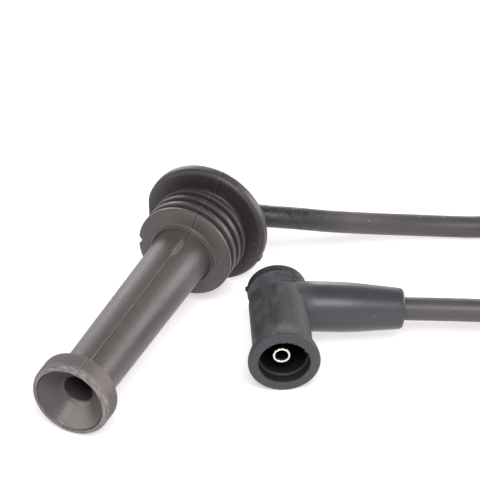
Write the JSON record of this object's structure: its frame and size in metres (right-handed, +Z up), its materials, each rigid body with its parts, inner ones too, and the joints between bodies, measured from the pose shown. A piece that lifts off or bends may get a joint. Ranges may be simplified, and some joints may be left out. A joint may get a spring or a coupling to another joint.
{
  "type": "spark plug wire",
  "caption": "Ignition lead for a car engine: long ribbed plug boot with a round flange, rubber-jacketed cable and right-angle coil boot.",
  "frame": {"origin": "on the floor under the middle of the two boots' common box, cable left out", "axes": "+Z up, +Y along the plug boot from its open rim towards its hub, +X from the plug boot towards the coil boot"},
  "size_m": [0.1841, 0.183, 0.0399],
  "materials": {
    "boot_rubber": "matte",
    "coil_boot_rubber": "satin",
    "cable_jacket": "satin",
    "tinned_metal": "bright",
    "spring_steel": "bright",
    "nylon_tie": "matte"
  },
  "bodies": {
    "root": {"plug_boot": "boot_rubber", "plug_terminal": "tinned_metal", "plug_snap_ring": "spring_steel", "cable_end_at_plug": "cable_jacket", "coil_boot": "coil_boot_rubber", "coil_terminal": "tinned_metal", "cable_end_at_coil": "cable_jacket", "cable_run_from_plug": "cable_jacket", "cable_coil": "cable_jacket", "cable_run_to_coil_boot": "cable_jacket", "coil_tie": "nylon_tie"}
  },
  "joints": []
}
